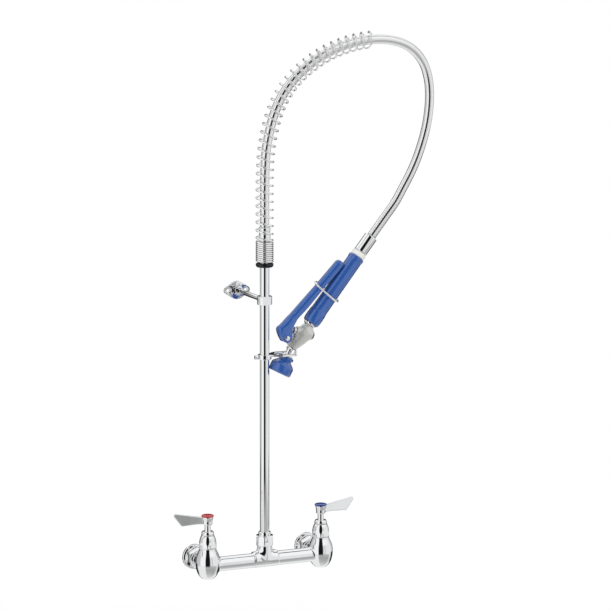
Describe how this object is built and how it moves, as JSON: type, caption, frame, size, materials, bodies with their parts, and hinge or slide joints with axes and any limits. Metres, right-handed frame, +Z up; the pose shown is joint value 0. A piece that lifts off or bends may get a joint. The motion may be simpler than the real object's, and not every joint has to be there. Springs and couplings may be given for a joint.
{
  "type": "pre rinse faucet",
  "caption": "Wall-mounted pre rinse faucet: a two-handle mixing body, a tall riser with a wall bracket and hook, an overhead spring and hose, and a squeeze-lever sprayer.",
  "frame": {"origin": "midway between the hot and cold inlets, on the plane of their back faces", "axes": "+Z up along the riser, -Y out towards the user, +Y into the wall, hot side at -X and cold side at +X"},
  "size_m": [0.4651, 0.1369, 0.8871],
  "materials": {
    "chrome": "polished chrome plate over brass",
    "satin_casting": "satin cast metal, lightly grained",
    "blue_rubber": "soft moulded rubber, low sheen",
    "red_plastic": "glossy moulded plastic",
    "blue_plastic": "glossy moulded plastic",
    "white_plastic": "glossy moulded plastic",
    "black_rubber": "plain moulded rubber",
    "brass": "machined",
    "steel": "bright stainless steel",
    "braided_hose": "rubber tube under a woven braid of bright stainless wire"
  },
  "bodies": {
    "base": {"faucet_body": "chrome", "hot_bonnet": "chrome", "cold_bonnet": "chrome", "hot_packing_nut": "chrome", "cold_packing_nut": "chrome", "hot_cartridge": "brass", "cold_cartridge": "brass", "hot_seat_seal": "black_rubber", "cold_seat_seal": "black_rubber", "hot_inlet_nut": "chrome", "cold_inlet_nut": "chrome", "hot_inlet_washer": "black_rubber", "cold_inlet_washer": "black_rubber", "hot_inlet_flange": "chrome", "cold_inlet_flange": "chrome", "riser_nut": "chrome", "riser_washer": "black_rubber", "riser_pipe": "chrome"},
    "hot_handle_body": {"hot_handle": "chrome", "hot_handle_screw": "steel", "hot_index_button": "red_plastic", "hot_spindle": "chrome"},
    "cold_handle_body": {"cold_handle": "chrome", "cold_handle_screw": "steel", "cold_index_button": "blue_plastic", "cold_spindle": "chrome"},
    "bracket": {"bracket_ring": "chrome", "bracket_set_screw": "steel", "bracket_rod": "chrome", "bracket_nut": "chrome", "bracket_flange": "chrome"},
    "spring_arm": {"spring_seat": "steel", "hose_adapter": "chrome", "hose_lower_ferrule": "chrome", "overhead_spring": "chrome", "hose": "braided_hose"},
    "hook": {"finger_hook": "chrome", "hook_thumbscrew": "chrome"},
    "hose_end": {"hose_end_sleeve": "chrome"},
    "sprayer": {"swivel_collar": "white_plastic", "handle_tube": "chrome", "grip": "blue_rubber", "spray_valve_body": "satin_casting", "valve_cap": "black_rubber", "valve_seal": "black_rubber", "valve_gland_nut": "chrome", "plunger_spring": "steel", "spray_nozzle": "chrome", "bell_bumper": "blue_rubber", "spray_face": "steel", "face_screw": "steel", "pivot_bolt": "steel", "pivot_nut": "steel"},
    "lever": {"lever_cover": "blue_rubber", "lever_core": "chrome", "push_pin": "steel"},
    "plunger": {"valve_plunger": "steel"},
    "ring": {"hold_ring": "chrome"}
  },
  "joints": [
    {"name": "hot_handle_turn", "type": "hinge", "parent": "base", "child": "hot_handle_body", "pos_m": [-0.1016, -0.06, 0], "axis": [0, 0, 1], "range_deg": [0, 90]},
    {"name": "cold_handle_turn", "type": "hinge", "parent": "base", "child": "cold_handle_body", "pos_m": [0.1016, -0.06, 0], "axis": [0, 0, 1], "range_deg": [-90, 0]},
    {"name": "bracket_slide", "type": "slide", "parent": "base", "child": "bracket", "axis": [0, 0, 1], "range_m": [-0.03, 0.04]},
    {"name": "arm_swing", "type": "hinge", "parent": "base", "child": "spring_arm", "pos_m": [0, -0.06, 0.49], "axis": [0, 0, 1], "range_deg": [-180, 15]},
    {"name": "hook_turn", "type": "hinge", "parent": "base", "child": "hook", "pos_m": [0, -0.06, 0.34], "axis": [0, 0, 1], "range_deg": [-180, 15]},
    {"name": "sprayer_unhook", "type": "slide", "parent": "spring_arm", "child": "hose_end", "axis": [1, 0, 0], "range_m": [0, 0.045], "deforming": ["hose"]},
    {"name": "sprayer_swivel", "type": "hinge", "parent": "hose_end", "child": "sprayer", "pos_m": [0.166, -0.06, 0.4934], "axis": [0.6252, 0, 0.7804], "range_deg": [-20, 20]},
    {"name": "lever_squeeze", "type": "hinge", "parent": "sprayer", "child": "lever", "pos_m": [0.03652, -0.06, 0.36713], "axis": [0, 1, 0], "range_deg": [0, 0.6], "stiffness_Nm_per_rad": 2, "springref_deg": -11.46},
    {"name": "plunger_slide", "type": "slide", "parent": "sprayer", "child": "plunger", "axis": [-0.9472, 0, 0.3206], "range_m": [-0.0003, 0.0001]},
    {"name": "hold_ring_slide", "type": "slide", "parent": "sprayer", "child": "ring", "axis": [0.6252, 0, 0.7804], "range_m": [0, 0.075]}
  ],
  "couplings": [
    {"joint": "hook_turn", "follows": "arm_swing", "ratio": 1},
    {"joint": "plunger_slide", "follows": "lever_squeeze", "m_per_rad": -0.01555}
  ]
}
